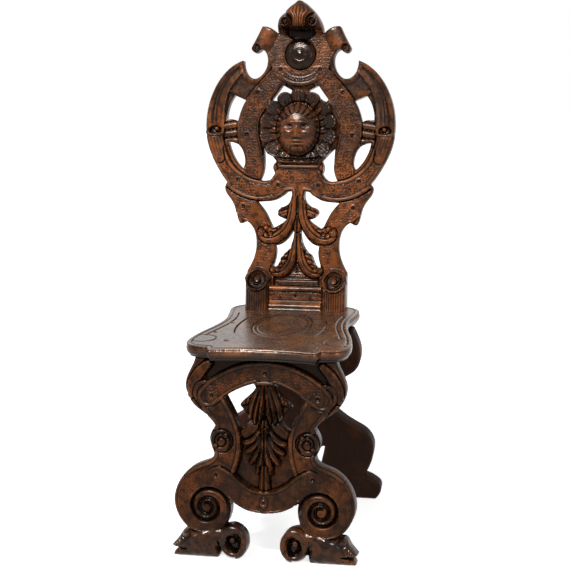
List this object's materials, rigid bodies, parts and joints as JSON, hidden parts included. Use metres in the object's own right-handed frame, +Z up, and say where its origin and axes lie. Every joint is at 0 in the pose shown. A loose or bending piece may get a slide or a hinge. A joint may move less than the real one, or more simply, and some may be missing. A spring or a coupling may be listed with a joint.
{
  "type": "carved hall chair",
  "caption": "Carved walnut sgabello hall chair: lobed board seat on splayed trestle boards with volutes, tall raked pierced back with a leaf mask, scrolls and a shell crest.",
  "frame": {"origin": "on the floor, below the middle of the whole chair's bounding box", "axes": "+Z up, +Y to the chair's rear, +X to the right seen from the front"},
  "size_m": [0.4422, 0.5455, 1.1562],
  "materials": {
    "walnut": "carved, stained and waxed",
    "dark_walnut": "plain, dark stained",
    "nail_iron": "forged, dull"
  },
  "bodies": {
    "root": {"seat_board": "walnut", "front_trestle": "walnut", "rear_trestle": "dark_walnut", "back_board": "walnut", "left_front_foot": "walnut", "right_front_foot": "walnut", "left_back_key": "dark_walnut", "right_back_key": "dark_walnut", "front_cleat": "dark_walnut", "rear_cleat": "dark_walnut", "cleat_nails": "nail_iron", "foot_dowels": "dark_walnut", "carving_dowels": "dark_walnut", "crest_shell": "walnut", "crest_medallion": "walnut", "mask": "walnut", "left_base_scroll": "walnut", "right_base_scroll": "walnut", "back_plinth": "walnut"}
  },
  "joints": []
}
